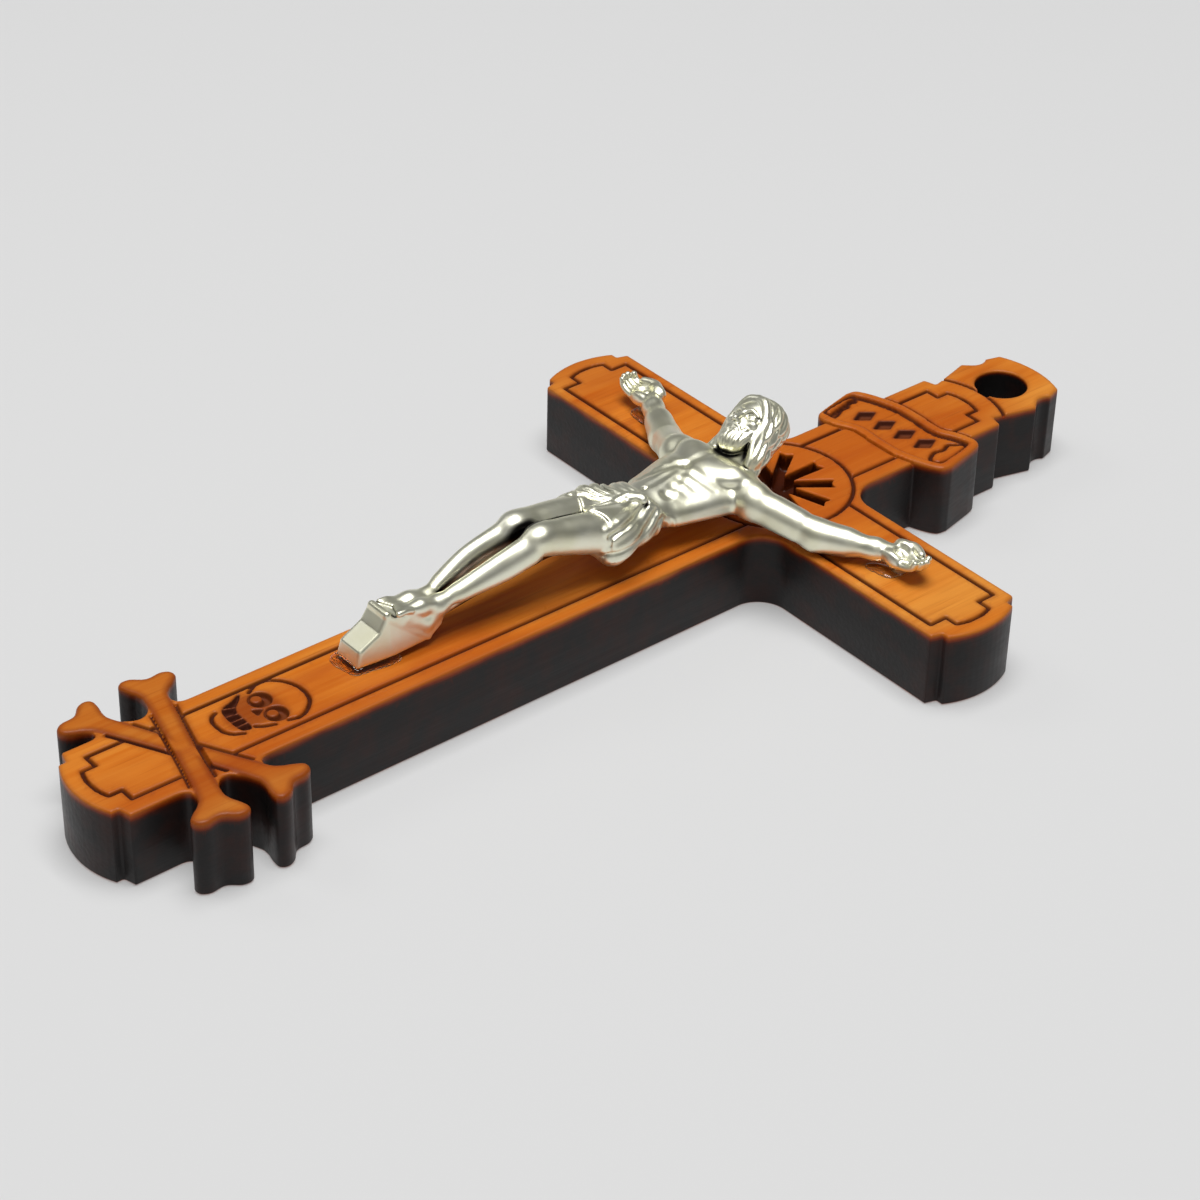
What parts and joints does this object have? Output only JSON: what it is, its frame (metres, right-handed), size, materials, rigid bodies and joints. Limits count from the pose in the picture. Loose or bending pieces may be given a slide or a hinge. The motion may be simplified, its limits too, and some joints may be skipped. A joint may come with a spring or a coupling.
{
  "type": "crucifix",
  "caption": "Small engraved wooden crucifix with a cast metal figure, scroll, halo, skull and crossed bones, hung from a hole in its top tab.",
  "frame": {"origin": "under the middle of the board's length and width, on its flat back", "axes": "+X to the viewer's right along the arms, +Y along the stem towards the hanging hole, +Z out of the front face"},
  "size_m": [0.0492, 0.0948, 0.0144],
  "materials": {
    "stained_wood": "amber stain under satin lacquer, charred cut edges",
    "cast_metal": "silver-tone casting with dark patina in its recesses",
    "clear_glue": "clear glossy glue"
  },
  "bodies": {
    "root": {"cross_board": "stained_wood", "corpus": "cast_metal", "right_hand_glue": "clear_glue", "left_hand_glue": "clear_glue", "foot_glue": "clear_glue"}
  },
  "joints": []
}
